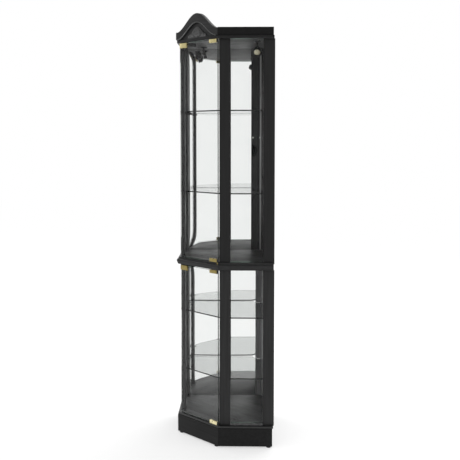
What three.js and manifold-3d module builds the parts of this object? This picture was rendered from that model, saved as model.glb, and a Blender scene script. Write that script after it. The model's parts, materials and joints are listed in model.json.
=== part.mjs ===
// Five-sided corner display cabinet: glass doors, glass sides, mirrored back walls, two stacked units.
// Millimetres, +Z up. The door facet faces -Y, the room corner is at +Y, and the origin is the middle
// of the bounding box's bottom face.
import * as THREE from 'three';
import { mergeVertices } from 'three/addons/utils/BufferGeometryUtils.js';
import Module from 'manifold-3d';

const wasm = await Module();
wasm.setup();

// ---------- driving dimensions ----------
const wall_length = 400;        // each back wall, from the room corner to the side facet
const side_facet = 226;         // width of each glazed side facet, square to its wall
const gap = 0.3;                // clearance between touching pieces
const wall_gap = 3;             // back boards stand this far off the wall
const back_board = 5;
const mirror_glass = 4;
const stile_thick = 20;
const front_stile = 44;
const rear_stile = 46;
const pane = 4;                 // side glass
const pane_setback = 10;        // outer face of the side glass behind the facet
const groove_depth = 8;
const groove_play = 0.3;
const shelf_thick = 5;
const shelf_inset = 24.3;
const door_glass = 5;
const door_gap = 3.5;           // from the carcass face to the back of the door glass
const overhang = { plinth: 14.8, board: 12, waist: 17, cornice: 16 };

// heights above the floor
const z = {
  glide: 5, plinth: 80, base: 89, lower_floor: 97, waist: 743, waist_seam: 768, waist_top: 775,
  upper_floor: 776, top: 1688, top_face: 1700, cornice: 1732, shoulder: 1730, crest: 1800,
};
const shelf_heights = { lower_2: 283, lower_1: 541, upper_2: 1060, upper_1: 1402 };

// doors
const door_left = -112;
const door_right = 122.5;
const pivot_x = 117.5;
const pivot_radius = 3;
const pivot_play = 0.4;
const pivot_reach = 9;          // how far each pin enters its board
const clamp = { width: 44, height: 14, plate: 1.6, inset: 6 };
const strike = { width: 45, height: 20, plate: 1.2 };
const latch = { width: 16, height: 14, depth: 52, x: -92, setback: 8 };
const plunger = { radius: 4, length: 26 };

// ---------- plan geometry ----------
// A plan point is (a, b): a from the left wall plane, b from the right wall plane. The left half of
// the cabinet swaps a and b.
const root2 = Math.SQRT2;
const front_line = wall_length + side_facet;              // a + b along the door facet
const front_depth = front_line / root2;                   // room corner to door facet
const corner_y = (front_depth + overhang.waist + wall_gap * root2) / 2;
const front_y = corner_y - front_depth;
const mitre = root2 - 1;                                  // shift of a 45 degree corner per mm offset

const at = ([a, b]) => new THREE.Vector2((a - b) / root2, corner_y - (a + b) / root2);
const swap = ([a, b]) => [b, a];
const for_side = (side, points) => (side === 'left' ? points.map(swap) : points);
const front_corner = (n) => [wall_length + n, side_facet + n * mitre];

// ---------- colours ----------
const finish = (color, roughness, metalness, opacity = 1) => new THREE.MeshStandardMaterial(
  { color, roughness, metalness, opacity, transparent: opacity < 1 },
);
const black = finish(0x262626, 0.45, 0);
const crest_black = finish(0x3c3c3c, 0.5, 0);
const clear = finish(0xe4efe9, 0.05, 0, 0.3);
const silver = finish(0xeeeeee, 0.03, 1);
const brass = finish(0xd2b96a, 0.25, 1);
const plastic = finish(0x1a1a1a, 0.5, 0);

// ---------- solid helpers ----------
const cabinet = new THREE.Group();

function volume(geometry) {
  const p = geometry.getAttribute('position');
  const index = geometry.getIndex();
  const corner = (k) => new THREE.Vector3().fromBufferAttribute(p, index.getX(k));
  let sum = 0;
  for (let k = 0; k < index.count; k += 3) {
    sum += corner(k).dot(corner(k + 1).cross(corner(k + 2)));
  }
  return sum;
}

// Shared vertices merged and faces turned outward.
function closed(geometry) {
  geometry.deleteAttribute('normal');
  geometry.deleteAttribute('uv');
  const merged = mergeVertices(geometry, 1e-4);
  if (volume(merged) < 0) {
    const index = merged.getIndex();
    for (let k = 0; k < index.count; k += 3) {
      const first = index.getX(k);
      index.setX(k, index.getX(k + 1));
      index.setX(k + 1, first);
    }
  }
  return merged;
}

const to_solid = (geometry) => new wasm.Manifold(new wasm.Mesh({
  numProp: 3,
  vertProperties: geometry.getAttribute('position').array,
  triVerts: Uint32Array.from(geometry.getIndex().array),
}));

function from_solid(solid) {
  const mesh = solid.getMesh();
  const geometry = new THREE.BufferGeometry();
  geometry.setAttribute('position', new THREE.BufferAttribute(mesh.vertProperties, 3));
  geometry.setIndex(new THREE.BufferAttribute(mesh.triVerts, 1));
  return geometry;
}

const join = (...pieces) => from_solid(pieces.map(to_solid).reduce((sum, s) => sum.add(s)));
const cut = (body, ...tools) => from_solid(
  tools.map(to_solid).reduce((rest, tool) => rest.subtract(tool), to_solid(body)),
);

// A board or post: a plan outline between two heights.
function prism(points, low, high) {
  const geometry = new THREE.ExtrudeGeometry(
    new THREE.Shape(points.map(at)), { depth: high - low, bevelEnabled: false },
  );
  return closed(geometry.translate(0, 0, low));
}

// A box from its lowest to its highest corner.
function block([x0, y0, z0], [x1, y1, z1]) {
  const geometry = new THREE.BoxGeometry(x1 - x0, y1 - y0, z1 - z0);
  return closed(geometry.translate((x0 + x1) / 2, (y0 + y1) / 2, (z0 + z1) / 2));
}

// A turned piece about Z from a closed [radius, height] profile.
const turned = (profile, segments) => closed(new THREE.LatheGeometry(
  profile.map(([r, h]) => new THREE.Vector2(r, h)), segments,
).rotateX(Math.PI / 2));

const pin = (x, y, low, high, radius, segments = 20) => turned(
  [[0, low], [radius, low], [radius, high], [0, high]], segments,
).translate(x, y, 0);

// A moulding of closed profile [offset, height] along a facet, mitred where facets meet.
function moulding(facet, profile, rear_end = wall_gap) {
  const outline = new THREE.Shape(profile.map(([n, h]) => new THREE.Vector2(n, h)));
  const geometry = new THREE.ExtrudeGeometry(outline, { depth: 1, bevelEnabled: false });
  const p = geometry.getAttribute('position');
  for (let k = 0; k < p.count; k += 1) {
    const n = p.getX(k);
    const start = front_corner(n);
    const end = facet === 'front' ? swap(start) : [wall_length + n, rear_end];
    const [point] = for_side(facet, [p.getZ(k) < 0.5 ? start : end]);
    const place = at(point);
    p.setXYZ(k, place.x, place.y, p.getY(k));
  }
  return closed(geometry);
}

function add(name, geometry, material) {
  const mesh = new THREE.Mesh(geometry, material);
  mesh.name = name;
  cabinet.add(mesh);
  return mesh;
}

const sides = ['right', 'left'];

// ---------- base ----------
const plinth_thick = 18;
const plinth_setback = 7;       // rear of the plinth off the wall planes
const plinth_inner = overhang.plinth - plinth_thick;
const seam = gap / 2;
const board_profile = (inner, outer, low, high) => [[inner, low], [outer, low], [outer, high], [inner, high]];

// Takes a sliver off the ends of a facet piece so that mitred neighbours do not touch.
function shortened(facet, geometry) {
  geometry.computeBoundingBox();
  const tools = [];
  const blade = (angle, x, y) => closed(
    new THREE.BoxGeometry(200, gap, 4000).rotateZ(angle).translate(x, y, 0),
  );
  const corner = at(front_corner(0));
  const angle = THREE.MathUtils.degToRad(-67.5);
  if (facet !== 'left') tools.push(blade(angle, corner.x, corner.y));
  if (facet !== 'right') tools.push(blade(-angle, -corner.x, corner.y));
  const parts = cut(geometry, ...tools);
  const largest = to_solid(parts).decompose().sort((p, q) => q.volume() - p.volume())[0];
  return from_solid(largest);
}

for (const facet of ['front', ...sides]) {
  const profile = board_profile(plinth_inner, overhang.plinth, z.glide + seam, z.plinth);
  add(`plinth_${facet}`, shortened(facet, moulding(facet, profile, plinth_setback)), black);
}

const rail_thick = 18;
const rail_end = wall_length + plinth_inner - gap;
const rail_far = plinth_setback + rail_thick;
const rail_half = [[rail_end, plinth_setback], [rail_end, rail_far]];
add('plinth_back', prism(
  [[plinth_setback, plinth_setback], ...rail_half, [rail_far, rail_far], ...rail_half.map(swap).reverse()],
  z.glide + seam, z.plinth,
), black);

const glide_radius = 10;
const glide_n = overhang.plinth - plinth_thick / 2;       // glides sit under the middle of the boards
const rear_spot = [wall_length + glide_n, plinth_setback + 15];
const along_front = 14 / root2;                           // the front glides stand 14 in from the corners
const front_spot = front_corner(glide_n).map((v, k) => v + (k === 0 ? -along_front : along_front));
const middle = plinth_setback + rail_thick / 2;
const glide_spots = {
  right_rear: rear_spot, right_front: front_spot,
  left_front: swap(front_spot), left_rear: swap(rear_spot),
  back: [middle, middle],
};
const glide_profile = [
  [0, 0], [glide_radius - 1.5, 0], [glide_radius, 1.5], [glide_radius, z.glide - seam], [0, z.glide - seam],
];
for (const [name, spot] of Object.entries(glide_spots)) {
  const place = at(spot);
  add(`glide_${name}`, turned(glide_profile, 20).translate(place.x, place.y, 0), plastic);
}

// ---------- boards ----------
// A full five-sided board reaching n past the three front facets.
const five_sided = (n) => [
  [wall_gap, wall_gap], [wall_length + n, wall_gap], front_corner(n),
  swap(front_corner(n)), [wall_gap, wall_length + n],
];

// A floor notched round the four stiles and stopping at the back boards.
function notched_floor() {
  const wall_face = wall_gap + back_board + gap;
  const inner = wall_length - stile_thick - gap;
  const half = [
    [inner, wall_face], [inner, rear_stile + gap], [wall_length, rear_stile + gap],
    [wall_length, side_facet - front_stile - gap], [inner, side_facet - front_stile - gap],
    [inner, side_facet + gap], [wall_length - gap, side_facet + gap],
  ];
  return [[wall_face, wall_face], ...half, ...half.map(swap).reverse()];
}

const pivot_y = front_y - door_gap - door_glass / 2;
const bore = (low, high) => pin(pivot_x, pivot_y, low, high, pivot_radius + pivot_play, 24);

add('base_board', cut(
  prism(five_sided(overhang.board), z.plinth + gap, z.base), bore(z.plinth, z.base + 1),
), black);
add('lower_floor', prism(notched_floor(), z.base + gap, z.lower_floor), black);
add('waist_board', prism(five_sided(0), z.waist + gap, z.waist_seam), black);
add('upper_floor', prism(notched_floor(), z.waist_seam + gap, z.upper_floor), black);
add('top_board', cut(
  prism(five_sided(overhang.board), z.top, z.top_face), bore(z.top - 1, z.top + pivot_reach),
), black);

// ---------- waist moulding ----------
const nose = overhang.waist;
const waist_profile = [
  [gap, z.waist + gap], [nose - 5, z.waist + gap], [nose - 1.5, z.waist + 3.5], [nose, z.waist + 8],
  [nose, z.waist + 17], [nose - 1.5, z.waist + 21.5], [nose - 4.5, z.waist_seam - 1],
  [nose - 4.5, z.waist_top], [gap, z.waist_top],
];
for (const facet of ['front', ...sides]) {
  const length = shortened(facet, moulding(facet, waist_profile));
  const tools = [bore(z.waist - 1, z.waist + pivot_reach), bore(z.waist_top - pivot_reach, z.waist_top + 1)];
  add(`waist_moulding_${facet}`, facet === 'front' ? cut(length, ...tools) : length, black);
}

// ---------- glazed facets, back walls and shelves ----------
const glass_outer = wall_length - pane_setback;
const glass_inner = glass_outer - pane;
const stile_inner = wall_length - stile_thick;
const front_edge = side_facet - front_stile;

// The groove that holds the side glass, cut into a stile's edge at b towards b + depth.
const groove = (edge, depth) => [
  [glass_inner - groove_play, edge], [glass_inner - groove_play, edge + depth],
  [glass_outer + groove_play, edge + depth], [glass_outer + groove_play, edge],
];
const front_stile_plan = [
  [stile_inner, front_edge], ...groove(front_edge, groove_depth),
  [wall_length, front_edge], [wall_length, side_facet], [stile_inner, side_facet],
];
const rear_stile_plan = [
  [stile_inner, 0], [stile_inner, rear_stile], ...groove(rear_stile, -groove_depth),
  [wall_length, rear_stile], [wall_length, 0],
];
const pane_plan = [
  [glass_inner, rear_stile - groove_depth + gap], [glass_outer, rear_stile - groove_depth + gap],
  [glass_outer, front_edge + groove_depth - gap], [glass_inner, front_edge + groove_depth - gap],
];

// a from the corner end to the rear stile, b one board thickness off the wall
const wall_strip = (start, near, thick) => [
  [start, near], [stile_inner - gap, near], [stile_inner - gap, near + thick], [start, near + thick],
];
const mirror_near = wall_gap + back_board + gap;

const units = {
  lower: {
    foot: z.base + gap, floor: z.lower_floor, head: z.waist, mirror_start: 75,
    shelves: ['lower_1', 'lower_2'],
  },
  upper: {
    foot: z.waist_seam + gap, floor: z.upper_floor, head: z.top - gap, mirror_start: 96,
    shelves: ['upper_1', 'upper_2'],
  },
};

const shelf_corner = 120;         // a + b along the clipped back corner of each shelf
const shelf_back_gap = 17;        // the shelves stand clear of the mirrors

function shelf_plan() {
  const edge = wall_length - shelf_inset;
  const back = mirror_near + mirror_glass + shelf_back_gap;
  const nose_b = front_line - shelf_inset * root2 - edge;
  const half = [[shelf_corner - back, back], [edge, back], [edge, nose_b]];
  return [...half, ...half.map(swap).reverse()];
}

for (const [unit, u] of Object.entries(units)) {
  for (const side of sides) {
    add(`${unit}_front_stile_${side}`, prism(for_side(side, front_stile_plan), u.foot, u.head), black);
    add(`${unit}_rear_stile_${side}`, prism(for_side(side, rear_stile_plan), u.foot, u.head), black);
    add(`${unit}_side_glass_${side}`, prism(for_side(side, pane_plan), u.floor + gap, u.head), clear);
    const board_start = side === 'right' ? wall_gap : wall_gap + back_board + gap;
    const board = wall_strip(board_start, wall_gap, back_board);
    add(`${unit}_back_board_${side}`, prism(for_side(side, board), u.foot, u.head), black);
    const mirror = wall_strip(u.mirror_start, mirror_near, mirror_glass);
    add(`${unit}_mirror_${side}`, prism(for_side(side, mirror), u.floor + gap, u.head - gap), silver);
  }
  for (const name of u.shelves) {
    const top = shelf_heights[name];
    add(`${name}_shelf`, prism(shelf_plan(), top - shelf_thick, top), clear);
  }
}

// ---------- doors ----------
// U-shaped brass clamp closed over one edge of the glass, with its pivot pin.
function hinge_clamp(edge, outward) {
  const back = front_y - door_gap + gap;
  const front = front_y - door_gap - door_glass - gap;
  const right = door_right - clamp.inset;
  const left = right - clamp.width;
  const level = (distance) => edge + outward * distance;
  const box = (y0, y1, d0, d1) => {
    const heights = [level(d0), level(d1)].sort((p, q) => p - q);
    return block([left, y0, heights[0]], [right, y1, heights[1]]);
  };
  const reach = clamp.height - clamp.plate;
  const ends = [level(0.5), level(clamp.plate + gap + pivot_reach)].sort((p, q) => p - q);
  return join(
    box(front - clamp.plate, front, -reach, clamp.plate - 0.5),
    box(back, back + clamp.plate, -reach, clamp.plate - 0.5),
    box(front - clamp.plate, back + clamp.plate, gap, clamp.plate),
    pin(pivot_x, pivot_y, ends[0], ends[1], pivot_radius),
  );
}

// Brass clip over the free edge of the glass: the magnet of the touch latch pulls on it.
function strike_clip(high) {
  const back = front_y - door_gap + gap;
  const front = front_y - door_gap - door_glass - gap;
  const low = high - strike.height;
  const left = door_left - gap - strike.plate;
  const right = left + strike.width;
  return join(
    block([left, front - strike.plate, low], [right, front, high]),
    block([left + 0.4, back, low], [right, back + strike.plate, high]),
    block([left, front - strike.plate, low], [door_left - gap, back + strike.plate, high]),
  );
}

const strike_back = front_y - door_gap + gap + strike.plate;
const along_y = (geometry, x, y, height) => geometry.rotateX(-Math.PI / 2).translate(x, y, height);
const doors = {
  lower: { low: z.base + clamp.plate + 1.4, high: z.waist - clamp.plate - 1.1, ceiling: z.waist },
  upper: { low: z.waist_top + clamp.plate + 1.4, high: z.top - clamp.plate - 1.4, ceiling: z.top - gap },
};
for (const [unit, d] of Object.entries(doors)) {
  add(`${unit}_door_glass`, block(
    [door_left, front_y - door_gap - door_glass, d.low], [door_right, front_y - door_gap, d.high],
  ), clear);
  add(`${unit}_hinge_bottom`, hinge_clamp(d.low, -1), brass);
  add(`${unit}_hinge_top`, hinge_clamp(d.high, 1), brass);
  add(`${unit}_strike_clip`, strike_clip(d.high), brass);

  const mid = d.ceiling - latch.height / 2;
  const body = block(
    [latch.x - latch.width / 2, front_y + latch.setback, d.ceiling - latch.height],
    [latch.x + latch.width / 2, front_y + latch.setback + latch.depth, d.ceiling],
  );
  const tip = strike_back + gap;
  const hole_radius = plunger.radius + gap;
  const hole_profile = [[0, 0], [hole_radius, 0], [hole_radius, plunger.length], [0, plunger.length]];
  const hole = along_y(turned(hole_profile, 20), latch.x, front_y + latch.setback + 6, mid);
  const mouth = along_y(turned(hole_profile, 20), latch.x, front_y + latch.setback - 4, mid);
  add(`${unit}_latch_body`, cut(body, join(hole, mouth)), plastic);
  const stem = [
    [0, 0], [plunger.radius - 1, 0], [plunger.radius, 1],
    [plunger.radius, plunger.length], [0, plunger.length],
  ];
  add(`${unit}_latch_plunger`, along_y(turned(stem, 20), latch.x, tip, mid), plastic);
}

// ---------- cornice and crest ----------
const cornice_thick = 20;
const cornice_inner = overhang.cornice - cornice_thick;
for (const side of sides) {
  const profile = board_profile(cornice_inner, overhang.cornice, z.top_face + gap, z.cornice);
  add(`cornice_${side}`, shortened(side, moulding(side, profile, 6)), black);
}

const half_width = (n) => at(front_corner(n)).x;
const crest_half = half_width(overhang.cornice);
const crest_low = z.top_face + gap;
const crest_rise = z.crest - z.shoulder;
const field = { half: 112, period: 120, low: z.shoulder - 32, rise: 68 };
const crest_steps = 48;
const ogee = (x, half, low, rise) => low + (rise / 2) * (1 + Math.cos((Math.PI * x) / half));

function curve_points(reach, height) {
  const points = [];
  for (let k = 0; k <= crest_steps; k += 1) {
    const x = -reach + (2 * reach * k) / crest_steps;
    points.push([x, height(x)]);
  }
  return points;
}

// An upright outline [x, height] from offset inner to outer, its ends mitred to the cornice.
function upright(outline, inner, outer) {
  const shape = new THREE.Shape(outline.map(([x, h]) => new THREE.Vector2(x, h)));
  const geometry = new THREE.ExtrudeGeometry(shape, { depth: outer - inner, bevelEnabled: false });
  const p = geometry.getAttribute('position');
  for (let k = 0; k < p.count; k += 1) {
    const n = inner + p.getZ(k);
    const x = (p.getX(k) * (half_width(n) - gap)) / crest_half;
    p.setXYZ(k, x, front_y - n, p.getY(k));
  }
  return closed(geometry);
}

const crest_top = curve_points(crest_half, (x) => ogee(x, crest_half, z.shoulder, crest_rise));
const field_top = curve_points(field.half, (x) => Math.max(
  ogee(x, field.period, field.low, field.rise), crest_low + 0.4,
));
const field_depth = 8;           // offset of the recessed field; the border stands proud of it
const crest_back = upright(
  [[-crest_half, crest_low], ...crest_top, [crest_half, crest_low]], cornice_inner, field_depth,
);
const crest_band = upright(
  [[-crest_half, crest_low], ...crest_top, [crest_half, crest_low], [field.half, crest_low],
    ...field_top.slice(1, -1).reverse(), [-field.half, crest_low]],
  field_depth - 0.5, overhang.cornice,
);
add('crest', join(crest_back, crest_band), crest_black);

// ---------- lamps ----------
const lamp = {
  a: 306, b: 73, pivot_z: 1659, canopy: 15, canopy_thick: 6, stem: 4, ball: 7,
  can: 20, wall: 2, start: 10, length: 26, depth: 12, tilt: { right: 40, left: 12 },
};
const canopy_low = z.top - gap - lamp.canopy_thick;
for (const side of sides) {
  const [plan_point] = for_side(side, [[lamp.a, lamp.b]]);
  const place = at(plan_point);
  const canopy = pin(0, 0, canopy_low, z.top - gap, lamp.canopy, 28);
  const stem = pin(0, 0, lamp.pivot_z, canopy_low + 1, lamp.stem, 16);
  const ball = closed(new THREE.SphereGeometry(lamp.ball, 18, 10).translate(0, 0, lamp.pivot_z));
  add(`lamp_base_${side}`, join(canopy, stem, ball).translate(place.x, place.y, 0), plastic);

  const shell = lamp.can - lamp.wall;
  const end = lamp.start + lamp.length;
  const profile = [
    [0, lamp.start], [10, lamp.start], [lamp.can - 4, lamp.start + 8], [lamp.can, lamp.start + 12],
    [lamp.can, end], [shell, end], [shell, end - lamp.depth], [0, end - lamp.depth],
  ];
  const heading = side === 'right' ? -Math.PI / 4 : -3 * Math.PI / 4;
  const can = turned(profile, 28)
    .rotateY(Math.PI / 2 + THREE.MathUtils.degToRad(lamp.tilt[side]))
    .rotateZ(heading)
    .translate(place.x, place.y, lamp.pivot_z);
  add(`lamp_head_${side}`, can, plastic);
}

export default cabinet;
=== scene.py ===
"""Looks of the five-sided corner display cabinet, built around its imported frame.

Lengths are in millimetres and become metres when a mesh is made. A plan place is (a, b): a from the
left wall plane, b from the right wall plane. The left half of the cabinet swaps a and b.
"""
import json
import math

import bmesh
import bpy
from mathutils import Matrix, Vector


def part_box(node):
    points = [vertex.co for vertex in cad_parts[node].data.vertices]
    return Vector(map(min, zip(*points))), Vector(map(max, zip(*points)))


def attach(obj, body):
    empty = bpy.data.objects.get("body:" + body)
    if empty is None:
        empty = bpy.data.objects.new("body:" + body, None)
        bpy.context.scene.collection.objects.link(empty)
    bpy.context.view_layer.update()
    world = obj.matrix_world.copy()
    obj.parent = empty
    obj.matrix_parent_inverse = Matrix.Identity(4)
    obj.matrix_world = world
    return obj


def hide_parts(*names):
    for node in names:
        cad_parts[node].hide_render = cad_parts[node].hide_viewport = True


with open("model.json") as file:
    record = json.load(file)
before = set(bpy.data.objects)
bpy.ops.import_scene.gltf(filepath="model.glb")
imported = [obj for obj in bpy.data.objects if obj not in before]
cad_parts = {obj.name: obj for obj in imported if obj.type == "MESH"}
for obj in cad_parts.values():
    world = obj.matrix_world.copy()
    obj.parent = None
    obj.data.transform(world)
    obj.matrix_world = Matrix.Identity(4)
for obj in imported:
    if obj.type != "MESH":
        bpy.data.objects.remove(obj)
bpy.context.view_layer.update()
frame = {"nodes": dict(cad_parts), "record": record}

MM = 0.001
ROOT2 = math.sqrt(2)
SIDES = ("right", "left")
UNITS = ("lower", "upper")

# ---------- driving dimensions ----------
WALL_LENGTH = 400               # each back wall, from the room corner to the side facet
SIDE_FACET = 226
WALL_GAP = 3
GAP = 0.3                       # clearance between touching pieces
STILE_INNER = WALL_LENGTH - 20  # the face of each rear stile that looks into the cabinet
PLINTH_OUT, WAIST_OUT, CORNICE_OUT = 14.8, 17, 16   # how far each stands out from the facets
PLINTH_BOARD = 18
MITRE = ROOT2 - 1


def top(node):
    """The height of a CAD node's highest point."""
    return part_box(node)[1].z / MM


def bottom(node):
    """The height of a CAD node's lowest point."""
    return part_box(node)[0].z / MM


CORNER_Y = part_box("base_board")[1].y / MM + WALL_GAP * ROOT2
FRONT_Y = CORNER_Y - (WALL_LENGTH + SIDE_FACET) / ROOT2
CEILING = bottom("top_board")
DOOR_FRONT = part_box("upper_door_glass")[0].y / MM
DOOR_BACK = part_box("upper_door_glass")[1].y / MM


def plan(a, b, height=0.0, side="right"):
    """The point at a plan place and a height, in millimetres."""
    if side == "left":
        a, b = b, a
    return Vector(((a - b) / ROOT2, CORNER_Y - (a + b) / ROOT2, height))


def front_corner(n):
    """The edge between a side facet and the front facet, n outside both."""
    return WALL_LENGTH + n, SIDE_FACET + n * MITRE


# ---------- camera, floor and light ----------
LIT_POINT = (0, 0, 1.2)
SOFTBOXES = (                   # name, place, size and power, in metres and watts
    ("softbox_back", (-0.6, 2.6, 3.6), (2.4, 1.6), 60),
    ("softbox_left", (-3.6, -0.4, 2.6), (2.0, 2.0), 16),
)
STAGE_REACH = 12.0


def add_camera():
    data = bpy.data.cameras.new("camera")
    data.lens = 64.7
    data.sensor_width = 36
    data.shift_y = -0.0694
    camera = bpy.data.objects.new("camera", data)
    camera.location = (2.5977, -2.5064, 1.2902)
    camera.rotation_mode = "QUATERNION"
    camera.rotation_quaternion = Vector((-0.7224, 0.6876, -0.0735)).to_track_quat("-Z", "Y")
    bpy.context.scene.collection.objects.link(camera)
    bpy.context.scene.camera = camera


def add_softbox(name, place, size, power):
    data = bpy.data.lights.new(name, "AREA")
    data.shape = "RECTANGLE"
    data.size, data.size_y = size
    data.energy = power
    lamp = bpy.data.objects.new(name, data)
    lamp.location = place
    lamp.rotation_mode = "QUATERNION"
    lamp.rotation_quaternion = (Vector(LIT_POINT) - Vector(place)).to_track_quat("-Z", "Y")
    bpy.context.scene.collection.objects.link(lamp)


def add_stage():
    world = bpy.data.worlds.new("studio")
    world.use_nodes = True
    background = world.node_tree.nodes["Background"]
    background.inputs["Color"].default_value = (1.0, 1.0, 1.0, 1.0)
    background.inputs["Strength"].default_value = 1.0
    bpy.context.scene.world = world
    mesh = bpy.data.meshes.new("floor")
    reach = STAGE_REACH
    corners = [(-reach, -reach, 0), (reach, -reach, 0), (reach, reach, 0), (-reach, reach, 0)]
    mesh.from_pydata(corners, [], [(0, 1, 2, 3)])
    floor = bpy.data.objects.new("studio_floor", mesh)
    bpy.context.scene.collection.objects.link(floor)
    mesh.materials.append(pale_floor())
    for softbox in SOFTBOXES:
        add_softbox(*softbox)
    bpy.context.scene.view_settings.view_transform = "Standard"


# ---------- materials ----------
class Nodes:
    """A material's node tree, with short calls for the nodes that the finishes share."""

    def __init__(self, name):
        self.material = bpy.data.materials.new(name)
        self.material.use_nodes = True
        self.tree = self.material.node_tree
        self.shader = self.tree.nodes["Principled BSDF"]
        self.output = self.tree.nodes["Material Output"]

    def add(self, kind, **values):
        node = self.tree.nodes.new(kind)
        for key, value in values.items():
            setattr(node, key, value)
        return node

    def link(self, source, target):
        self.tree.links.new(source, target)

    def set(self, **values):
        for key, value in values.items():
            socket = self.shader.inputs[key.replace("_", " ")]
            socket.default_value = (*value, 1.0) if isinstance(value, tuple) else value

    def coordinates(self, scale=(1, 1, 1), turn=0.0):
        place = self.add("ShaderNodeTexCoord")
        mapping = self.add("ShaderNodeMapping")
        mapping.inputs["Rotation"].default_value = (0, 0, turn)
        mapping.inputs["Scale"].default_value = scale
        self.link(place.outputs["Object"], mapping.inputs["Vector"])
        return mapping.outputs["Vector"]

    def noise(self, vector, scale, detail=3.0, distortion=0.0):
        node = self.add("ShaderNodeTexNoise")
        node.inputs["Scale"].default_value = scale
        node.inputs["Detail"].default_value = detail
        node.inputs["Distortion"].default_value = distortion
        self.link(vector, node.inputs["Vector"])
        return node.outputs["Fac"]

    def ramp(self, value, low, high, start=0.35, end=0.65):
        """Maps a 0 to 1 pattern to low to high."""
        node = self.add("ShaderNodeMapRange")
        node.inputs["From Min"].default_value = start
        node.inputs["From Max"].default_value = end
        node.inputs["To Min"].default_value = low
        node.inputs["To Max"].default_value = high
        self.link(value, node.inputs["Value"])
        return node.outputs["Result"]

    def blend(self, factor, first, second):
        node = self.add("ShaderNodeMix", data_type="RGBA")
        node.inputs["A"].default_value = (*first, 1.0)
        node.inputs["B"].default_value = (*second, 1.0)
        self.link(factor, node.inputs["Factor"])
        return node.outputs["Result"]

    def product(self, first, second):
        node = self.add("ShaderNodeMath", operation="MULTIPLY")
        self.link(first, node.inputs[0])
        self.link(second, node.inputs[1])
        return node.outputs[0]

    def bump(self, height, strength, distance):
        node = self.add("ShaderNodeBump")
        node.inputs["Strength"].default_value = strength
        node.inputs["Distance"].default_value = distance
        self.link(height, node.inputs["Height"])
        self.link(node.outputs["Normal"], self.shader.inputs["Normal"])


def pale_floor():
    """A pale sweep that glows a little, so that it stays as light as the studio round it."""
    made = Nodes("studio_floor")
    made.set(Base_Color=(0.5, 0.5, 0.5), Roughness=1.0, Specular_IOR_Level=0.0)
    made.set(Emission_Color=(1.0, 1.0, 1.0), Emission_Strength=0.5)
    return made.material


GRAIN_STRETCH = 0.035
GRAIN_TURN = {"front": 0.0, "right": math.pi / 4, "left": -math.pi / 4, "up": 0.0}
made_lacquers = {}


def lacquer(tone, grain="up", roughness=0.42, specular=0.3, relief=0.12):
    """Satin black lacquer over fine open-pored wood, its grain running up or along a facet."""
    key = (tone, grain, roughness, specular, relief)
    if key in made_lacquers:
        return made_lacquers[key]
    made = Nodes(f"lacquer_{grain}_{len(made_lacquers)}")
    stretch = (1, 1, GRAIN_STRETCH) if grain == "up" else (GRAIN_STRETCH, 1, 1)
    place = made.coordinates(stretch, GRAIN_TURN[grain])
    pores = made.noise(place, 620, 2.0)
    streaks = made.noise(place, 120, 4.0, 0.3)
    wear = made.noise(made.coordinates(), 14, 5.0)
    dark = tuple(tone * k for k in (0.72, 0.72, 0.72))
    light = tuple(tone * k for k in (1.3, 1.3, 1.32))
    made.link(made.blend(made.ramp(streaks, 0, 1), dark, light), made.shader.inputs["Base Color"])
    polish = made.ramp(wear, roughness - 0.05, roughness + 0.06)
    made.link(polish, made.shader.inputs["Roughness"])
    made.bump(made.product(pores, streaks), relief, 0.0006)
    made.set(Specular_IOR_Level=specular)
    made_lacquers[key] = made.material
    return made.material


def see_through(name, tint, haze, ior=1.45):
    """Clear glass: rays from lamps and soft light pass straight through it, and the eye's rays bend."""
    made = Nodes(name)
    made.set(Base_Color=tint, Transmission_Weight=1.0, IOR=ior)
    smears = made.noise(made.coordinates((1, 1, 0.4)), 9, 4.0, 0.6)
    made.link(made.ramp(smears, 0.0, haze, 0.45, 0.75), made.shader.inputs["Roughness"])
    clear = made.add("ShaderNodeBsdfTransparent")
    clear.inputs["Color"].default_value = (*tint, 1.0)
    rays = made.add("ShaderNodeLightPath")
    either = made.add("ShaderNodeMath", operation="MAXIMUM")
    made.link(rays.outputs["Is Shadow Ray"], either.inputs[0])
    made.link(rays.outputs["Is Diffuse Ray"], either.inputs[1])
    mix = made.add("ShaderNodeMixShader")
    made.link(either.outputs[0], mix.inputs["Fac"])
    made.link(made.shader.outputs["BSDF"], mix.inputs[1])
    made.link(clear.outputs["BSDF"], mix.inputs[2])
    made.link(mix.outputs["Shader"], made.output.inputs["Surface"])
    return made.material


def metal(name, colour, roughness, brushed=(1, 1, 0.08)):
    """Polished or plated metal with faint lines and fingermarks."""
    made = Nodes(name)
    lines = made.noise(made.coordinates(brushed), 1400, 2.0)
    marks = made.noise(made.coordinates(), 60, 3.0)
    shade = tuple(c * 0.74 for c in colour)
    made.link(made.blend(made.ramp(marks, 0, 1), shade, colour), made.shader.inputs["Base Color"])
    made.link(made.ramp(marks, roughness * 0.7, roughness * 1.3), made.shader.inputs["Roughness"])
    made.bump(lines, 0.06, 0.0002)
    made.set(Metallic=1.0)
    return made.material


def moulded(name, colour, roughness, specular=0.4):
    """Fine-textured moulded plastic, rubber or paint."""
    made = Nodes(name)
    texture = made.noise(made.coordinates(), 1800, 2.0)
    patches = made.noise(made.coordinates(), 35, 3.0)
    light = tuple(c * 1.35 for c in colour)
    made.link(made.blend(made.ramp(patches, 0, 1), colour, light), made.shader.inputs["Base Color"])
    made.link(made.ramp(patches, roughness - 0.05, roughness + 0.05), made.shader.inputs["Roughness"])
    made.bump(texture, 0.15, 0.0002)
    made.set(Specular_IOR_Level=specular)
    return made.material


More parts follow.
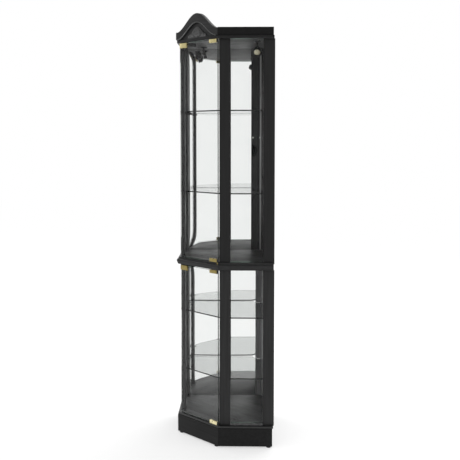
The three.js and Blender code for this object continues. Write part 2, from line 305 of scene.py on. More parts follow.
def make_mirror():
    """Silvered glass with faint marks."""
    made = Nodes("mirror_silver")
    marks = made.noise(made.coordinates(), 7, 5.0, 0.5)
    shade = (0.86, 0.87, 0.865)
    bright = (0.88, 0.885, 0.88)
    made.link(made.blend(made.ramp(marks, 0, 1), shade, bright), made.shader.inputs["Base Color"])
    made.link(made.ramp(marks, 0.0, 0.012, 0.45, 0.8), made.shader.inputs["Roughness"])
    made.set(Metallic=1.0)
    return made.material


def make_bulb_glass():
    """The frosted face of an unlit reflector bulb."""
    made = Nodes("bulb_glass")
    frost = made.noise(made.coordinates(), 160, 2.0)
    warm, pale = (0.42, 0.37, 0.22), (0.66, 0.62, 0.47)
    made.link(made.blend(made.ramp(frost, 0, 1), warm, pale), made.shader.inputs["Base Color"])
    made.link(made.ramp(frost, 0.14, 0.26), made.shader.inputs["Roughness"])
    made.set(Coat_Weight=0.4)
    return made.material


# The same black lacquer, painted lighter on the lower unit than on the upper one: painted light.
UNIT_PAINTED_LIGHT_TONE = {"upper": 0.006, "lower": 0.014}
PLINTH_TONE, CREST_TONE, CORNICE_TONE = 0.007, 0.02, 0.004
# The waist moulding's two sides are painted lighter than its front, for the light that falls on them.
WAIST_PAINTED_LIGHT_TONE = {"front": 0.006, "right": 0.014, "left": 0.014}
# The back boards are painted far lighter in the lower unit than in the upper one: painted light.
BOARD_TONE = {"upper": 0.024, "lower": 0.18}
# The ceiling's pale tone is painted light on the cabinet's ceiling.
TOP_BOARD_TONE, LIT_CEILING_TONE = 0.006, 0.08
# The posts' chamfers are painted far paler than the posts: a painted highlight line.
POST_TONE, CHAMFER_HIGHLIGHT_TONE = 0.012, 0.26
# The floor panels are painted lighter than the other black lacquer, the lower floor most: painted light on
# them.
LIT_FLOOR_FINISH = {
    "lower_floor": (0.075, "front", 0.4, 0.22, 0.03),
    "upper_floor": (0.018, "front", 0.42, 0.12, 0.03),
}
pane_glass = see_through("pane_glass", (0.985, 0.99, 0.987), 0.004, 1.18)
shelf_glass = see_through("shelf_glass", (0.635, 0.647, 0.641), 0.01, 1.22)
pane_edge = see_through("pane_edge", (0.12, 0.24, 0.16), 0.3)
shelf_edge = see_through("shelf_edge", (0.02, 0.03, 0.025), 0.25, 1.3)
mirror_silver = make_mirror()
# The same polished brass three times: as it is, a paler copy that is painted light, and a darker copy that
# is painted shade.
brass = metal("polished_brass", (0.54, 0.47, 0.235), 0.3)
lit_brass = metal("lit_brass", (0.9, 0.81, 0.5), 0.3)
shaded_brass = metal("shaded_brass", (0.3, 0.24, 0.09), 0.34)
steel = metal("nickel_steel", (0.66, 0.66, 0.65), 0.3)
nylon = moulded("black_nylon", (0.012, 0.012, 0.012), 0.45)
rubber = moulded("black_rubber", (0.014, 0.014, 0.014), 0.7, 0.25)
lamp_paint = moulded("lamp_paint", (0.008, 0.008, 0.008), 0.35, 0.35)
# Dead black: the shelf pins' own black, and painted shade for the grommet's hole.
black_and_hole_shade = moulded("black_and_hole_shade", (0.001, 0.001, 0.001), 0.9, 0.0)
pale_plastic = moulded("pale_plastic", (0.62, 0.6, 0.56), 0.4)
bulb_glass = make_bulb_glass()


# ---------- mesh helpers ----------
def ease(bm, width, segments=2, angle=40):
    """Rounds every edge that is sharper than angle."""
    limit = math.radians(angle)
    edges = [e for e in bm.edges if len(e.link_faces) == 2 and e.calc_face_angle(0) > limit]
    bmesh.ops.bevel(
        bm, geom=edges, offset=width, segments=segments, profile=0.5, affect="EDGES",
        clamp_overlap=True,
    )


def make_piece(name, bm, material, body="cabinet", replaces=(), smooth=32, tidy=True):
    """Turns a bmesh in millimetres into a piece that rides on a body."""
    if tidy:
        bmesh.ops.remove_doubles(bm, verts=bm.verts, dist=1e-4)
        bmesh.ops.recalc_face_normals(bm, faces=bm.faces)
    mesh = bpy.data.meshes.new(name)
    bm.to_mesh(mesh)
    bm.free()
    mesh.transform(Matrix.Scale(MM, 4))
    for one in material if isinstance(material, (list, tuple)) else [material]:
        mesh.materials.append(one)
    mesh.shade_smooth()
    mesh.set_sharp_from_angle(angle=math.radians(smooth))
    piece = bpy.data.objects.new(name, mesh)
    bpy.context.scene.collection.objects.link(piece)
    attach(piece, body)
    if replaces:
        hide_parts(*replaces)


def node_solid(node):
    """A CAD node's mesh as a bmesh in millimetres, with its flat faces whole again."""
    bm = bmesh.new()
    bm.from_mesh(frame["nodes"][node].data)
    bmesh.ops.scale(bm, vec=(1 / MM,) * 3, verts=bm.verts)
    bmesh.ops.remove_doubles(bm, verts=bm.verts, dist=0.01)
    bmesh.ops.dissolve_limit(bm, angle_limit=math.radians(1), verts=bm.verts, edges=bm.edges)
    return bm


def body_of(node):
    """The moving body that a CAD node belongs to."""
    return next(b for b, nodes in frame["record"]["behaviour"]["bodies"].items() if node in nodes)


def dress(node, suffix, material, width=0.8, segments=2):
    """A CAD piece with its edges eased and a real finish."""
    bm = node_solid(node)
    ease(bm, width, segments)
    make_piece(f"{node}_{suffix}", bm, material, body_of(node), (node,))


def prism(outline, low, high):
    """An upright solid from plan or XY points."""
    bm = bmesh.new()
    points = [Vector((p[0], p[1], 0)) for p in outline]
    rings = [[bm.verts.new(p + Vector((0, 0, h))) for p in points] for h in (low, high)]
    bm.faces.new(list(reversed(rings[0])))
    bm.faces.new(rings[1])
    for k in range(len(points)):
        m = (k + 1) % len(points)
        bm.faces.new((rings[0][k], rings[0][m], rings[1][m], rings[1][k]))
    bmesh.ops.recalc_face_normals(bm, faces=bm.faces)
    return bm


def loft(rings):
    """Skins a list of equal-length closed rings of points and closes both ends."""
    bm = bmesh.new()
    rows = [[bm.verts.new(p) for p in ring] for ring in rings]
    count = len(rows[0])
    for first, second in zip(rows, rows[1:]):
        for k in range(count):
            m = (k + 1) % count
            bm.faces.new((first[k], first[m], second[m], second[k]))
    bm.faces.new(list(reversed(rows[0])))
    bm.faces.new(rows[-1])
    bmesh.ops.recalc_face_normals(bm, faces=bm.faces)
    return bm


def lathe(profile, matrix, segments=40):
    """A turned solid about local Z from an open [radius, height] profile that ends on the axis."""
    bm = bmesh.new()
    rows = []
    for r, h in profile:
        if r < 1e-6:
            rows.append([bm.verts.new((0, 0, h))])
        else:
            turns = [2 * math.pi * k / segments for k in range(segments)]
            rows.append([bm.verts.new((r * math.cos(t), r * math.sin(t), h)) for t in turns])
    for first, second in zip(rows, rows[1:]):
        for k in range(segments):
            m = (k + 1) % segments
            face = [first[k % len(first)], first[m % len(first)], second[m % len(second)],
                    second[k % len(second)]]
            unique = list(dict.fromkeys(face))
            if len(unique) > 2:
                bm.faces.new(unique)
    bmesh.ops.recalc_face_normals(bm, faces=bm.faces)
    bmesh.ops.transform(bm, matrix=matrix, verts=bm.verts)
    return bm


def merge(*parts):
    """Several bmeshes as one."""
    whole = bmesh.new()
    for part in parts:
        holder = bpy.data.meshes.new("part")
        part.to_mesh(holder)
        part.free()
        whole.from_mesh(holder)
        bpy.data.meshes.remove(holder)
    return whole


def arc(centre, radius, start, end, steps=5):
    """Points on an arc, angles in degrees."""
    angles = [math.radians(start + (end - start) * k / steps) for k in range(steps + 1)]
    return [(centre[0] + radius * math.cos(t), centre[1] + radius * math.sin(t)) for t in angles]


def moulding(facet, profile, rear=WALL_GAP, mitre_gap=0.15):
    """A closed [n, height] profile run along a facet and mitred where facets meet."""
    rings = []
    for end in (0, 1):
        ring = []
        for n, h in profile:
            a, b = front_corner(n)
            if facet == "front":
                point = plan(a, b, h, SIDES[end])
                point.x += mitre_gap * (-1 if end == 0 else 1)
            elif end == 0:
                point = plan(a, b - mitre_gap, h, facet)
            else:
                point = plan(a, rear, h, facet)
            ring.append(point)
        rings.append(ring)
    return loft(rings)


# ---------- base ----------
PLINTH_REAR = 7                 # the side plinths' rear ends, off the wall planes


def add_plinth():
    """The plinth boards, mitred at the corners, and the rail behind them."""
    low, high = bottom("plinth_front"), top("plinth_front")
    outer, inner = PLINTH_OUT, PLINTH_OUT - PLINTH_BOARD
    profile = [
        (inner, low), *arc((outer - 1.5, low + 1.5), 1.5, -90, 0, 3),
        *arc((outer - 2.5, high - 2.5), 2.5, 0, 90, 4), (inner, high),
    ]
    for facet in ("front", *SIDES):
        finish = lacquer(PLINTH_TONE, facet, 0.42, 0.14)
        make_piece(f"plinth_{facet}_board", moulding(facet, profile, PLINTH_REAR), finish,
                   replaces=(f"plinth_{facet}",))
    dress("plinth_back", "rail", lacquer(PLINTH_TONE, "front", 0.42, 0.14))


def add_glides():
    """A turned nylon foot for each levelling glide."""
    for node in frame["nodes"]:
        if node.startswith("glide_"):
            low_corner, high_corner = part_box(node)
            middle = (low_corner + high_corner) / 2 / MM
            height = top(node)
            radius, rounding = 10, 2.2
            profile = [(0, 0), (radius - 2.5, 0), *arc((radius - rounding, rounding), rounding, -90, 0, 4),
                       (radius, height), (0, height)]
            place = Matrix.Translation((middle.x, middle.y, 0))
            make_piece(f"{node}_foot", lathe(profile, place, 28), nylon,
                       replaces=(node,))


def add_boards():
    """The boards between the units and the mouldings round the waist."""
    dress("base_board", "cap", lacquer(PLINTH_TONE * 1.6, "front", 0.36, 0.4), 1.6, 3)
    for node, finish in LIT_FLOOR_FINISH.items():
        dress(node, "panel", lacquer(*finish), 0.4)
    dress("waist_board", "core", lacquer(UNIT_PAINTED_LIGHT_TONE["lower"], "front", 0.34, 0.3), 0.5)
    add_top_board()
    low, high = bottom("waist_moulding_front"), top("waist_moulding_front")
    seam = top("waist_board")
    nose = WAIST_OUT
    profile = [
        (GAP, low), (nose - 9, low), *arc((nose - 9, low + 5), 5, -90, 0, 4)[1:],
        *arc((nose - 7.5, seam - 8.5), 7.5, -15, 90, 8), (nose - 9.5, seam - 1), (nose - 9.5, high - 2),
        *arc((nose - 11, high - 1.5), 1.5, 0, 90, 3), (GAP, high),
    ]
    for facet in ("front", *SIDES):
        # The sides get the lighter tone: painted light.
        make_piece(f"waist_moulding_{facet}_rail", moulding(facet, profile),
                   lacquer(WAIST_PAINTED_LIGHT_TONE[facet], facet, 0.36, 0.22),
                   replaces=(f"waist_moulding_{facet}",))


def add_top_board():
    """The top board; its underside, which is the ceiling of the cabinet, is painted paler: painted light on
    the ceiling.
    """
    bm = node_solid("top_board")
    bm.normal_update()
    for face in bm.faces:
        if face.normal.z < -0.9:
            face.material_index = 1
    ease(bm, 1.2, 3)
    finishes = [lacquer(tone, "front", 0.5, 0.2, 0.05) for tone in (TOP_BOARD_TONE, LIT_CEILING_TONE)]
    make_piece("top_board_panel", bm, finishes, replaces=("top_board",))


# ---------- glazed facets and back walls ----------
SIDE_GLASS = 4
THICK_GLASS = 5                 # doors and shelves


def mark_edges(bm, thin_limit):
    """Gives the narrow faces round a sheet of glass the edge material."""
    for face in bm.faces:
        lengths = sorted(e.calc_length() for e in face.edges)
        if lengths[0] < thin_limit:
            face.material_index = 1


def dress_glass(node, face_material, rim, thin_limit):
    """A sheet of glass with polished edges."""
    bm = node_solid(node)
    ease(bm, 0.5, 1)
    mark_edges(bm, thin_limit)
    make_piece(f"{node}_sheet", bm, [face_material, rim], body_of(node), (node,))


def add_walls():
    """The stiles, back boards, mirrors, side glasses and shelves of both units."""
    for unit in UNITS:
        finish = lacquer(UNIT_PAINTED_LIGHT_TONE[unit], "up", 0.42, 0.22)
        for side in SIDES:
            for post in ("front_stile", "rear_stile"):
                dress(f"{unit}_{post}_{side}", "post", finish, 1.0, 3)
            # Each unit's back boards in their painted-light tone.
            dress(f"{unit}_back_board_{side}", "panel", lacquer(BOARD_TONE[unit], "up", 0.5, 0.2),
                  0.5)
            add_mirror(unit, side)
            dress_glass(f"{unit}_side_glass_{side}", pane_glass, pane_edge, SIDE_GLASS + 0.5)
        for number in (1, 2):
            dress_glass(f"{unit}_{number}_shelf", shelf_glass, shelf_edge, THICK_GLASS + 0.5)


MIRROR_START = {"upper": 96, "lower": 75}
MIRROR_SHEET = 1.3
MIRROR_FRONT = 14.6             # how far a mirror's face stands off the wall where it bows out most
MIRROR_COLUMNS, MIRROR_ROWS = 44, 36
OUTER_SLOPE = {"upper": 0.068, "lower": 0.028}
OUTER_BEND = (330, 346)         # along the wall, where the outer slope sets in and is full
INNER_SLOPE = 0.024
INNER_BEND = (200, 188)
HEAD_SLOPE = {"upper": 0.030, "lower": 0.0}
HEAD_BEND = (98, 68)            # below the mirror's top edge
HELD_HEAD = {"upper": 60, "lower": 80}      # the outer slope dies out over this height at the top
HELD_FOOT = 80
LOWER_SAG = {"from": 530, "over": 120, "depth": 2.4}


def ease_off(t, start, full, slope):
    """How far a face falls back once its slope has set in between start and full."""
    if t <= start:
        return 0.0
    if t < full:
        return slope * (t - start) ** 2 / (2 * (full - start))
    return slope * ((full - start) / 2 + t - full)


def smooth_step(t):
    """Eases from 0 to 1 as t goes from 0 to 1."""
    t = min(1.0, max(0.0, t))
    return t * t * (3 - 2 * t)


def mirror_face(unit, along, height):
    """A mirror is held at its rim and bows out a little, so its face falls back towards its edges."""
    low, high = top(f"{unit}_floor"), top(f"{unit}_mirror_right")
    hold = smooth_step((high - height) / HELD_HEAD[unit])
    if unit == "upper":
        hold *= smooth_step((height - low) / HELD_FOOT)
    outer = ease_off(along, *OUTER_BEND, OUTER_SLOPE[unit]) * hold
    inner = ease_off(-along, -INNER_BEND[0], -INNER_BEND[1], INNER_SLOPE)
    head = ease_off(height, high - HEAD_BEND[0], high - HEAD_BEND[1], HEAD_SLOPE[unit])
    if unit == "lower":
        head += LOWER_SAG["depth"] * smooth_step((height - LOWER_SAG["from"]) / LOWER_SAG["over"])
    return MIRROR_FRONT - outer - inner - head


def add_mirror(unit, side):
    """A bowed mirror: two grids, closed by a rim. The rows crowd towards the ends, where it bends most."""
    start, end = MIRROR_START[unit], STILE_INNER - GAP
    node = f"{unit}_mirror_{side}"
    low, high = bottom(node), top(node)
    columns, rows = MIRROR_COLUMNS, MIRROR_ROWS
    bm = bmesh.new()
    faces = []
    for back in (0, MIRROR_SHEET):
        grid = []
        for j in range(rows + 1):
            height = low + (high - low) * (0.5 - 0.5 * math.cos(math.pi * j / rows))
            line = [start + (end - start) * k / columns for k in range(columns + 1)]
            grid.append([
                bm.verts.new(plan(a, mirror_face(unit, a, height) - back, height, side)) for a in line
            ])
        faces.append(grid)
    front, rear = faces
    for grid in faces:
        for j in range(rows):
            for k in range(columns):
                bm.faces.new((grid[j][k], grid[j][k + 1], grid[j + 1][k + 1], grid[j + 1][k]))
    rims = [
        (front[0], rear[0]), (front[-1], rear[-1]),
        ([row[0] for row in front], [row[0] for row in rear]),
        ([row[-1] for row in front], [row[-1] for row in rear]),
    ]
    for near, far in rims:
        for k in range(len(near) - 1):
            rim = bm.faces.new((near[k], near[k + 1], far[k + 1], far[k]))
            rim.material_index = 1
    make_piece(f"{node}_silver", bm, [mirror_silver, pane_edge], replaces=(node,))


POST_REACH = {"upper": 58, "lower": 48}     # each side of a corner post, along the wall
POST = {"near": 9.2, "lip": 2, "face": 18, "chamfer": 8}


def add_corner_posts():
    """The chamfered post that covers the joint of the two back walls."""
    near, face = POST["near"], POST["face"]
    for unit in UNITS:
        reach = POST_REACH[unit]
        half = [(reach, near), (reach, near + POST["lip"]), (reach - POST["chamfer"], face)]
        outline = [(near, near), *half, (face, face), *[(b, a) for a, b in reversed(half)]]
        bm = prism([plan(a, b) for a, b in outline], top(f"{unit}_floor") + GAP,
                   top(f"{unit}_back_board_right") - GAP)
        # The front-facing chamfers get the pale lacquer, a painted highlight line.
        bm.normal_update()
        for side_face in bm.faces:
            if side_face.normal.y < -0.9:
                side_face.material_index = 1
        ease(bm, 0.8, 2)
        finishes = [lacquer(POST_TONE, "up", 0.3, 0.4), lacquer(CHAMFER_HIGHLIGHT_TONE, "up", 0.3, 0.6)]
        make_piece(f"{unit}_corner_post", bm, finishes)


# ---------- doors ----------
CLAMP_HEIGHT = 14
CLAMP_INSET = 6                 # from the glass's edge to the clamp's end
CLAMP_SCREWS = (12, 32)         # from the clamp's inner end
PAD_HEIGHT = 12
PAD_FACE, PAD_LIP = 2.0, 0.2    # past the glass in front, and past it behind and beside it
PAD_REACH = {"top": 2.3, "bottom": 2.5}     # past the glass's end, towards the board
HINGE_METAL = {                 # one brass: darker as painted shade at the waist, paler as painted light at the lower door's foot
    ("upper", "top"): brass, ("upper", "bottom"): shaded_brass,
    ("lower", "top"): shaded_brass, ("lower", "bottom"): lit_brass,
}


def add_doors():
    """Each door's glass with its clamps, strike clip and latch."""
    for unit in UNITS:
        body = f"{unit}_door"
        dress_glass(f"{unit}_door_glass", pane_glass, pane_edge, THICK_GLASS + 0.5)
        for end in ("bottom", "top"):
            dress(f"{unit}_hinge_{end}", "clamp", HINGE_METAL[unit, end], 0.45, 2)
            add_hinge_details(unit, end, body)
        dress(f"{unit}_strike_clip", "plate", HINGE_METAL[unit, "top"], 0.45, 2)
        dress(f"{unit}_latch_body", "case", nylon, 0.8, 2)
        dress(f"{unit}_latch_plunger", "tip", nylon, 0.4, 2)


def add_hinge_details(unit, end, body):
    """The screws of a clamp, and the rubber pad between it and the glass's edge."""
    low, high = (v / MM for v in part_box(f"{unit}_hinge_{end}"))
    glass_low, glass_high = (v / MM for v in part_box(f"{unit}_door_glass"))
    middle = low.z + CLAMP_HEIGHT / 2 if end == "top" else high.z - CLAMP_HEIGHT / 2
    clamp_end = glass_high.x - CLAMP_INSET + GAP
    screws = []
    for step in CLAMP_SCREWS:
        face = Matrix.Translation((low.x + step, high.y, middle)) @ Matrix.Rotation(-math.pi / 2, 4, "X")
        screws.append(screw_head(3.2, 1.4, face))
    make_piece(f"{unit}_hinge_{end}_screws", merge(*screws), steel, body)
    right, front, back = glass_high.x + PAD_LIP, DOOR_FRONT - PAD_FACE, DOOR_BACK + PAD_LIP
    outline = [(clamp_end, front), (right, front), (right, back), (clamp_end, back)]
    if end == "top":
        levels = (glass_high.z - PAD_HEIGHT, glass_high.z + PAD_REACH[end])
    else:
        levels = (glass_low.z - PAD_REACH[end], glass_low.z + PAD_HEIGHT)
    pad = prism(outline, *levels)
    ease(pad, 1.0, 3)
    make_piece(f"{unit}_hinge_{end}_pad", pad, rubber, body)


def screw_head(radius, height, matrix, segments=24):
    """A low domed head with a round socket, its top facing local +Z."""
    dome = [(0, 0), (radius, 0), (radius, height * 0.4), (radius * 0.86, height * 0.8),
            (radius * 0.5, height), (radius * 0.42, height), (radius * 0.36, height * 0.25),
            (0, height * 0.2)]
    return lathe(dome, matrix, segments)


# ---------- cornice and crest ----------
CORNICE_BOARD = 20
CORNICE_REAR = 6


def add_cornice():
    """The two side boards of the cornice, with a rounded top edge."""
    low, high = bottom("cornice_right"), top("cornice_right")
    outer, inner = CORNICE_OUT, CORNICE_OUT - CORNICE_BOARD
    profile = [
        (inner, low), (outer - 2, low), (outer - 2, low + 3), *arc((outer - 1, low + 4), 1, -90, 0, 3),
        *arc((outer - 2, high - 2), 2, 0, 90, 4), *arc((inner + 1, high - 1), 1, 90, 180, 3),
    ]
    for side in SIDES:
        make_piece(f"cornice_{side}_board", moulding(side, profile, CORNICE_REAR),
                   lacquer(CORNICE_TONE, side, 0.42, 0.12),
                   replaces=(f"cornice_{side}",))


# Ogee curves: each rises by twice "rise" from "low" over the half width "half".
CREST = {"half": 129.7, "low": 1730, "rise": 35}
FIELD = {"half": 123, "low": 1701.5, "rise": 31.5, "reach": 123}
ORNAMENT = {"half": 66, "low": 1701, "rise": 22, "reach": 64}
CREST_Y = {"back": FRONT_Y + 4, "field": FRONT_Y - 8, "shield": FRONT_Y - 12, "face": FRONT_Y - 16}
CREST_LAP = 0.4                 # how far the border and shield reach into the panel
BEAD_RADIUS = 2.6


def ogee(x, curve):
    """The height of an ogee curve at x."""
    return curve["low"] + curve["rise"] * (1 + math.cos(math.pi * x / curve["half"]))


def ogee_line(curve, reach, steps=64):
    """Points along an ogee curve, from -reach to reach."""
    xs = [-reach + 2 * reach * k / steps for k in range(steps + 1)]
    return [(x, ogee(x, curve)) for x in xs]


def swept_bead(path, radius, y, segments=10):
    """A round bead along a path of [x, height] points on the plane y."""
    rings = []
    for k, (x, h) in enumerate(path):
        x0, h0 = path[max(k - 1, 0)]
        x1, h1 = path[min(k + 1, len(path) - 1)]
        along = Vector((x1 - x0, h1 - h0)).normalized()
        side = Vector((-along.y, along.x))
        ring = []
        for s in range(segments):
            t = 2 * math.pi * s / segments
            out, across = radius * math.cos(t), radius * math.sin(t)
            ring.append(Vector((x + side.x * across, y - out, h + side.y * across)))
        rings.append(ring)
    return loft(rings)


def petal(root, angle, length, width, rise, y, curl=0.0):
    """A carved leaf that grows from root [x, height], with a raised rib and curved edges."""
    rows, columns = 14, 8
    bm = bmesh.new()
    grid = []
    for i in range(rows + 1):
        t = i / rows
        turn = angle + curl * t * t
        reach = length * t
        centre = Vector((root[0] + reach * math.cos(turn), root[1] + reach * math.sin(turn)))
        side = Vector((-math.sin(turn), math.cos(turn)))
        half = width * math.sin(math.pi * min(1.0, 0.1 + 0.9 * t)) ** 0.8 / 2 + 0.25
        row = []
        for j in range(columns + 1):
            s = -1 + 2 * j / columns
            point = centre + side * (half * s)
            rib = math.exp(-(s / 0.22) ** 2) * 0.45
            lift = rise * (1 - s * s) ** 0.5 * (0.55 + rib) * (0.5 + 0.5 * math.sin(math.pi * t))
            row.append(bm.verts.new((point.x, y - lift, point.y)))
        grid.append(row)
    for i in range(rows):
        for j in range(columns):
            bm.faces.new((grid[i][j], grid[i][j + 1], grid[i + 1][j + 1], grid[i + 1][j]))
    rim = [e for e in bm.edges if len(e.link_faces) == 1]
    made = bmesh.ops.extrude_edge_only(bm, edges=rim)
    walls = [v for v in made["geom"] if isinstance(v, bmesh.types.BMVert)]
    for v in walls:
        v.co.y = y + 0.6
    bmesh.ops.holes_fill(bm, edges=[e for e in bm.edges if len(e.link_faces) == 1], sides=0)
    bmesh.ops.recalc_face_normals(bm, faces=bm.faces)
    return bm


def slab(outline, y0, y1):
    """A solid from [x, height] points, from the plane y0 to the plane y1."""
    bm = prism(outline, 0, 1)
    for v in bm.verts:
        x, h, end = v.co
        v.co = Vector((x, y0 + (y1 - y0) * end, h))
    bmesh.ops.recalc_face_normals(bm, faces=bm.faces)
    return bm


def add_crest():
    """A panel with an ogee border, a bead round its field, and a carved shield."""
    floor = bottom("crest")
    back_y, field_y, face_y = CREST_Y["back"], CREST_Y["field"], CREST_Y["face"]
    outer = ogee_line(CREST, CREST["half"])
    inner = [(x, max(h, floor + 0.6)) for x, h in ogee_line(FIELD, FIELD["reach"])]
    finish = lacquer(CREST_TONE, "front", 0.55, 0.14, 0.5)
    narrow = (CREST["half"] - 3) / CREST["half"]
    back = slab([(-CREST["half"] * narrow, floor), *[(x * narrow, h) for x, h in outer],
                 (CREST["half"] * narrow, floor)][::-1], back_y, field_y)
    ease(back, 1.0, 2, 60)
    # The recessed panel is painted darker than the border: painted shade in the recess.
    make_piece("crest_panel", back, lacquer(CREST_TONE * 0.8, "front", 0.5, 0.2, 0.5),
               replaces=("crest",))
    band = slab([(-CREST["half"], floor), *outer, (CREST["half"], floor), (FIELD["reach"], floor),
                 *inner[::-1], (-FIELD["reach"], floor)][::-1], field_y + CREST_LAP, face_y)
    ease(band, 1.8, 3, 50)
    make_piece("crest_border", band, finish)
    bead = swept_bead([(x, h - 0.8) for x, h in inner[1:-1]], BEAD_RADIUS, face_y + 1.2)
    # The bead's lacquer is painted lighter than the border's: a painted highlight line round the field.
    make_piece("crest_bead", bead, lacquer(CREST_TONE * 1.3, "front", 0.2, 0.55, 0.1))
    lip = [(x, max(h, floor + 0.6)) for x, h in ogee_line(ORNAMENT, ORNAMENT["reach"])]
    shield = slab([(-ORNAMENT["reach"], floor), *lip, (ORNAMENT["reach"], floor)][::-1],
                  field_y + CREST_LAP, CREST_Y["shield"])
    ease(shield, 1.0, 2, 50)
    # The raised shield is painted lighter than the border: painted light on the raised part.
    make_piece("crest_shield", shield, lacquer(CREST_TONE * 1.2, "front", 0.4, 0.3, 0.5))
    add_carving(floor, CREST_Y["shield"])


def add_carving(floor, y):
    """A palmette between two leafy scrolls, in low relief."""
    root = (0, floor + 7)
    parts = []
    for k in range(-3, 4):
        angle = math.radians(90 - 25 * k)
        parts.append(petal(root, angle, 35 - 3.5 * abs(k), 9 - 0.5 * abs(k), 3.6, y, 0.12 * k))
    for mirror in (1, -1):
        for start, length in ((20, 26), (32, 20), (44, 14)):
            angle = math.radians(16 if mirror == 1 else 164)
            parts.append(petal((mirror * start, floor + 4), angle, length, 8, 3.4, y, 0.4 * mirror))
    boss = Matrix.Translation((0, y + 0.5, root[1] - 1)) @ Matrix.Rotation(math.pi / 2, 4, "X")
    parts.append(lathe([(5, 0), (5, 1.4), (4.2, 3), (2.4, 4), (0, 4.3)], boss, 28))
    # The carving is painted over twice as light as the border: painted light that makes the relief stand
    # out.
    make_piece("crest_carving", merge(*parts), lacquer(CREST_TONE * 2.2, "front", 0.25, 0.6),
               tidy=False)


# ---------- lamps ----------
LAMP = {"a": 306, "b": 73, "pivot": 1659, "tilt": {"right": 40, "left": 12}}
HEADING = {"right": -math.pi / 4, "left": -3 * math.pi / 4}


def add_lamps():
    """The turned lamp bases under the ceiling, and their heads at the angles where they rest."""
    for side in SIDES:
        place = plan(LAMP["a"], LAMP["b"], LAMP["pivot"], side)
        canopy = CEILING - GAP
        base = [
            (0, canopy), (15, canopy), (15, canopy - 2), (12.5, canopy - 4.5), (6, canopy - 6.5),
            (4, canopy - 9), (4, place.z + 8), (6.8, place.z + 5), (7.4, place.z), (6.2, place.z - 4.5),
            (3, place.z - 7), (0, place.z - 7.4),
        ]
        make_piece(f"lamp_base_{side}_turning", lathe(base, Matrix.Translation((place.x, place.y, 0))),
                   lamp_paint, replaces=(f"lamp_base_{side}",))
        aim = (
            Matrix.Translation(place) @ Matrix.Rotation(HEADING[side], 4, "Z")
            @ Matrix.Rotation(math.pi / 2 + math.radians(LAMP["tilt"][side]), 4, "Y")
        )
        add_lamp_head(side, aim)


def add_lamp_head(side, aim):
    """A ribbed can with a reflector bulb in its mouth, turned about the aim's axis."""
    can = [(0, 10), (7, 10), (8, 11.5), (15, 15), (18.4, 18), (19.4, 21)]
    for ring in range(2):
        start = 22.5 + ring * 3.6
        can += [(19.4, start), (18.4, start + 0.7), (18.4, start + 1.8), (19.4, start + 2.5)]
    can += [(19.4, 31), (20.4, 32.4), (20.6, 34.6), (19.9, 36), (18.6, 36), (17.6, 33.4), (14, 27),
            (9, 24.4), (0, 24)]
    body = f"lamp_{side}"
    make_piece(f"lamp_head_{side}_can", lathe(can, aim, 48), lamp_paint, body,
               (f"lamp_head_{side}",))
    bulb = [(0, 24.3), (5, 24.6), (8, 25.6), (11, 27.5), (13, 30.4), (13, 32), (11.5, 33.6),
            (8, 34.8), (4, 35.5), (0, 35.7)]
    make_piece(f"lamp_bulb_{side}", lathe(bulb, aim, 40), bulb_glass, body)


# ---------- fittings ----------
PIN = {"radius": 2.5, "length": 11, "seat": 2.8, "places": (40, 198)}      # places are b on a wall
GROMMET = {"face": 8.1, "b": 97, "height": 1230, "radius": 28}
PEGS = ((88, 8.1), (57, 12.2))  # b, and a on the board or post that each peg stands on
PEG_HEIGHT = 1288
BACK_SCREWS = {"columns": (20, 366), "rows": {"lower": 4, "upper": 5}, "margin": 25}


def pin_along(place, direction):
    """A stub pin with a flat shelf seat, pointing along a direction."""
    radius, length = PIN["radius"], PIN["length"]
    turn = direction.to_track_quat("Z", "Y").to_matrix().to_4x4()
    profile = [(0, -1), (radius + 1.6, -1), (radius + 1.6, 0.6), (radius, 1.2), (radius, length - 0.8),
               (radius - 0.8, length), (0, length)]
    return lathe(profile, Matrix.Translation(place) @ turn, 20)


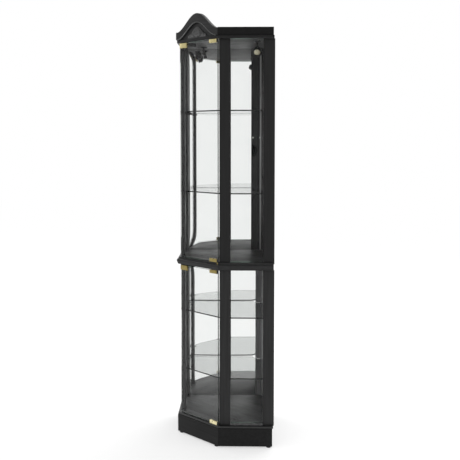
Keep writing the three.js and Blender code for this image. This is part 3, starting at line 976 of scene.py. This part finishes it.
def add_shelf_pins():
    """Black pins under each shelf, one in the inner face of each stile."""
    into = {"right": plan(-1, 0) - plan(0, 0), "left": plan(0, -1) - plan(0, 0)}
    for unit in UNITS:
        for number in (1, 2):
            pins = []
            height = bottom(f"{unit}_{number}_shelf") - PIN["seat"]
            for side in SIDES:
                for b in PIN["places"]:
                    pins.append(pin_along(plan(STILE_INNER - 1, b, height, side), into[side]))
            make_piece(f"{unit}_{number}_shelf_pins", merge(*pins), black_and_hole_shade)


def add_cable_grommet():
    """A round grommet in the left back wall, where a lamp lead can leave, and two pegs to hold the lead."""
    into = plan(1, 0) - plan(0, 0)
    turn = into.to_track_quat("Z", "Y").to_matrix().to_4x4()
    place = Matrix.Translation(plan(GROMMET["face"], GROMMET["b"], GROMMET["height"]))
    r = GROMMET["radius"]
    ring = [(0, 0), (r, 0), (r + 0.6, 0.7), (r, 1.5), (r - 3, 1.8), (r - 5, 1.4), (r - 5.6, 0.5),
            (0, 0.3)]
    # The grommet's closed middle, in this dead black, is painted shade for the hole.
    make_piece("cable_grommet", lathe(ring, place @ turn, 48), black_and_hole_shade)
    pegs = []
    for b, seat in PEGS:
        pegs.append(screw_head(3.4, 2.2, Matrix.Translation(plan(seat, b, PEG_HEIGHT)) @ turn))
    make_piece("lead_pegs", merge(*pegs), pale_plastic)


def add_back_screws():
    """Screw heads that hold the back boards to the stiles and boards, seen from behind."""
    for unit in UNITS:
        heads = []
        board, margin = f"{unit}_back_board_right", BACK_SCREWS["margin"]
        low, high = bottom(board) + margin, top(board) - margin
        rows = BACK_SCREWS["rows"][unit]
        for side in SIDES:
            back = plan(0, -1, 0, side) - plan(0, 0, 0, side)
            turn = back.to_track_quat("Z", "Y").to_matrix().to_4x4()
            for k in range(rows):
                height = low + (high - low) * k / (rows - 1)
                for a in BACK_SCREWS["columns"]:
                    seat = Matrix.Translation(plan(a, WALL_GAP, height, side))
                    heads.append(screw_head(3.6, 1.3, seat @ turn))
        make_piece(f"{unit}_back_screws", merge(*heads), steel)


add_camera()
add_stage()
add_plinth()
add_glides()
add_boards()
add_walls()
add_corner_posts()
add_doors()
add_cornice()
add_crest()
add_lamps()
add_shelf_pins()
add_cable_grommet()
add_back_screws()
